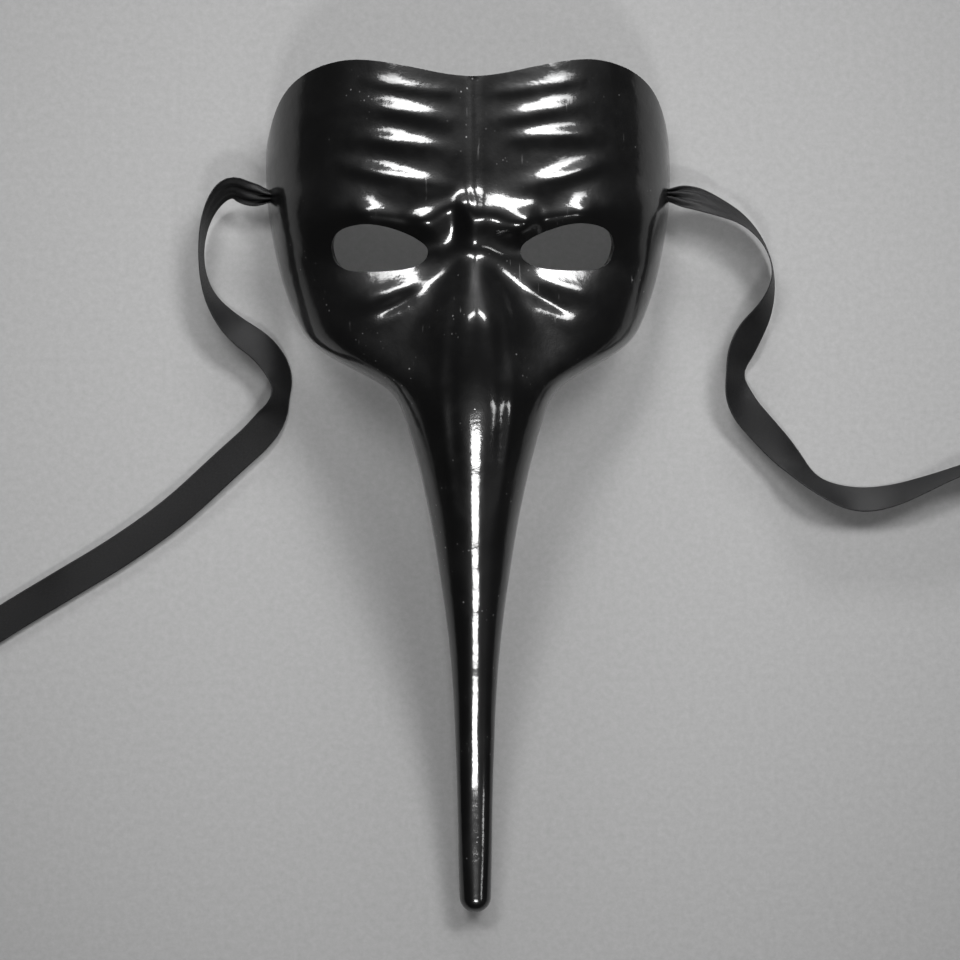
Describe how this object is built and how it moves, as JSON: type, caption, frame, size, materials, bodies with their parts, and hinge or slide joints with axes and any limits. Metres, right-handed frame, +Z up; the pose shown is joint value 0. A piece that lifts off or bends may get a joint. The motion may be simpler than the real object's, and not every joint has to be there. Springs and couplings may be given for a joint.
{
  "type": "plague doctor mask",
  "caption": "Glossy black half mask with frowning brow folds, almond eye holes and a very long tapering nose, lying face up with satin ribbon ties knotted through its temples.",
  "frame": {"origin": "on the table below the middle of the mask shell's outline, the ribbons left out", "axes": "+Z up out of the table and out of the mask's face, +Y from the nose's tip to the forehead, +X across the mask to the right as it is seen from above"},
  "size_m": [0.529, 0.3334, 0.066],
  "materials": {
    "lacquered_shell": "glossy black lacquer over a moulded shell",
    "satin_ribbon": "black single-face satin with woven edges"
  },
  "bodies": {
    "root": {"mask_shell": "lacquered_shell", "left_knot": "satin_ribbon", "right_knot": "satin_ribbon", "left_ribbon": "satin_ribbon", "right_ribbon": "satin_ribbon"}
  },
  "joints": []
}
